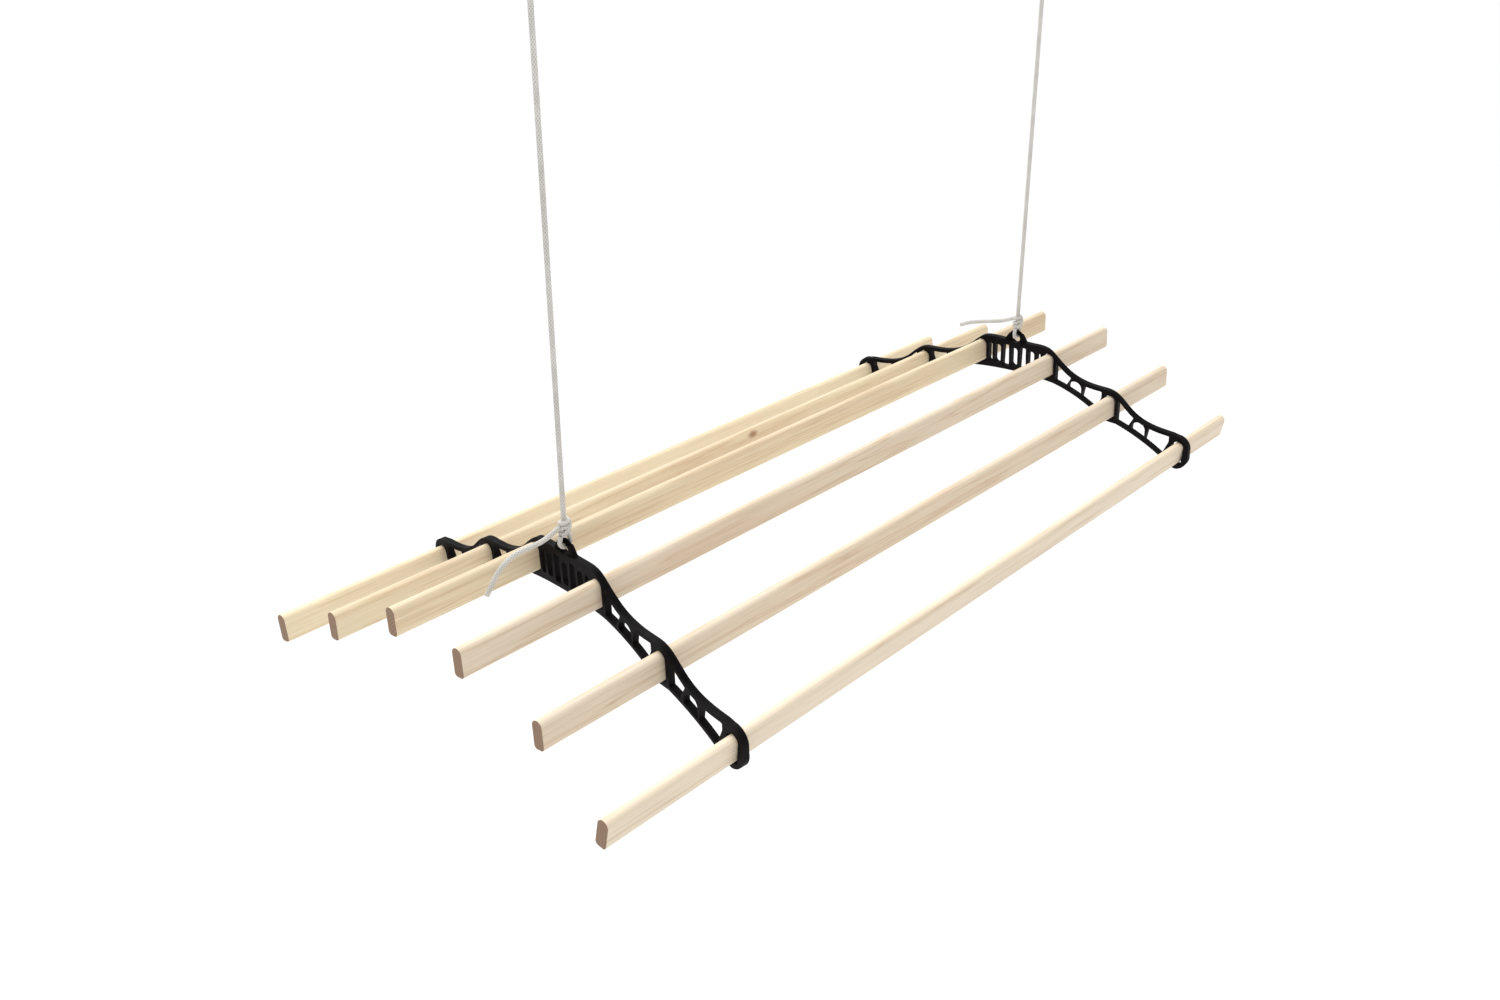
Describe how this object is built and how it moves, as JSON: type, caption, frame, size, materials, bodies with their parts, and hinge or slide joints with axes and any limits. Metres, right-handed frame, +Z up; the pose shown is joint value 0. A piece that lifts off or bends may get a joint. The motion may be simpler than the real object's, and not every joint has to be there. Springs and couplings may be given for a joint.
{
  "type": "ceiling mounted pulley rack",
  "caption": "Ceiling airer of pine laths through two openwork black cast ends, hung on knotted cotton ropes over a single and a double pulley.",
  "frame": {"origin": "on the ceiling, midway between the two rope falls", "axes": "+X along the laths towards the double pulley, +Y across the laths, +Z up"},
  "size_m": [1.2211, 0.5323, 0.7567],
  "materials": {
    "pine": "planed, bare",
    "black_iron": "satin black paint",
    "rope": "braided cotton",
    "steel": "plain"
  },
  "bodies": {
    "ceiling_gear": {"single_pulley_bracket": "black_iron", "double_pulley_bracket": "black_iron", "single_pulley_axle": "steel", "double_pulley_axle": "steel", "left_rope_fall": "rope", "right_rope_fall": "rope", "left_rope_top": "rope", "right_rope_top": "rope", "left_rope_haul": "rope", "right_rope_haul": "rope"},
    "single_wheel": {"single_pulley_wheel": "black_iron"},
    "front_wheel": {"double_pulley_wheel_front": "black_iron"},
    "back_wheel": {"double_pulley_wheel_back": "black_iron"},
    "hitches": {"left_knot": "rope", "right_knot": "rope", "left_eye_loop": "rope", "right_eye_loop": "rope", "left_rope_tail": "rope", "right_rope_tail": "rope"},
    "rack": {"left_cast_end": "black_iron", "right_cast_end": "black_iron", "lath_1": "pine", "lath_2": "pine", "lath_3": "pine", "lath_4": "pine", "lath_5": "pine", "lath_6": "pine"},
    "haul_end": {"left_stop_knot": "rope", "right_stop_knot": "rope"}
  },
  "joints": [
    {"name": "rack_lift", "type": "slide", "parent": "ceiling_gear", "child": "hitches", "axis": [0, 0, 1], "range_m": [0, 0.42], "deforming": ["left_rope_fall", "right_rope_fall"]},
    {"name": "rack_rock", "type": "hinge", "parent": "hitches", "child": "rack", "pos_m": [0, 0, -0.6085], "axis": [1, 0, 0], "range_deg": [-10, 10]},
    {"name": "haul_drop", "type": "slide", "parent": "ceiling_gear", "child": "haul_end", "axis": [0, 0, -1], "range_m": [0, 0.42], "deforming": ["left_rope_haul", "right_rope_haul"]},
    {"name": "single_wheel_spin", "type": "hinge", "parent": "ceiling_gear", "child": "single_wheel", "pos_m": [-0.407, 0, -0.042], "axis": [0, 1, 0], "continuous": true},
    {"name": "front_wheel_spin", "type": "hinge", "parent": "ceiling_gear", "child": "front_wheel", "pos_m": [0.451, 0, -0.042], "axis": [0, 1, 0], "continuous": true},
    {"name": "back_wheel_spin", "type": "hinge", "parent": "ceiling_gear", "child": "back_wheel", "pos_m": [0.451, 0.016, -0.042], "axis": [0, 1, 0], "continuous": true}
  ],
  "couplings": [
    {"joint": "haul_drop", "follows": "rack_lift", "ratio": 1},
    {"joint": "single_wheel_spin", "follows": "rack_lift", "rad_per_m": 45.455},
    {"joint": "front_wheel_spin", "follows": "rack_lift", "rad_per_m": 45.455},
    {"joint": "back_wheel_spin", "follows": "rack_lift", "rad_per_m": 45.455}
  ]
}
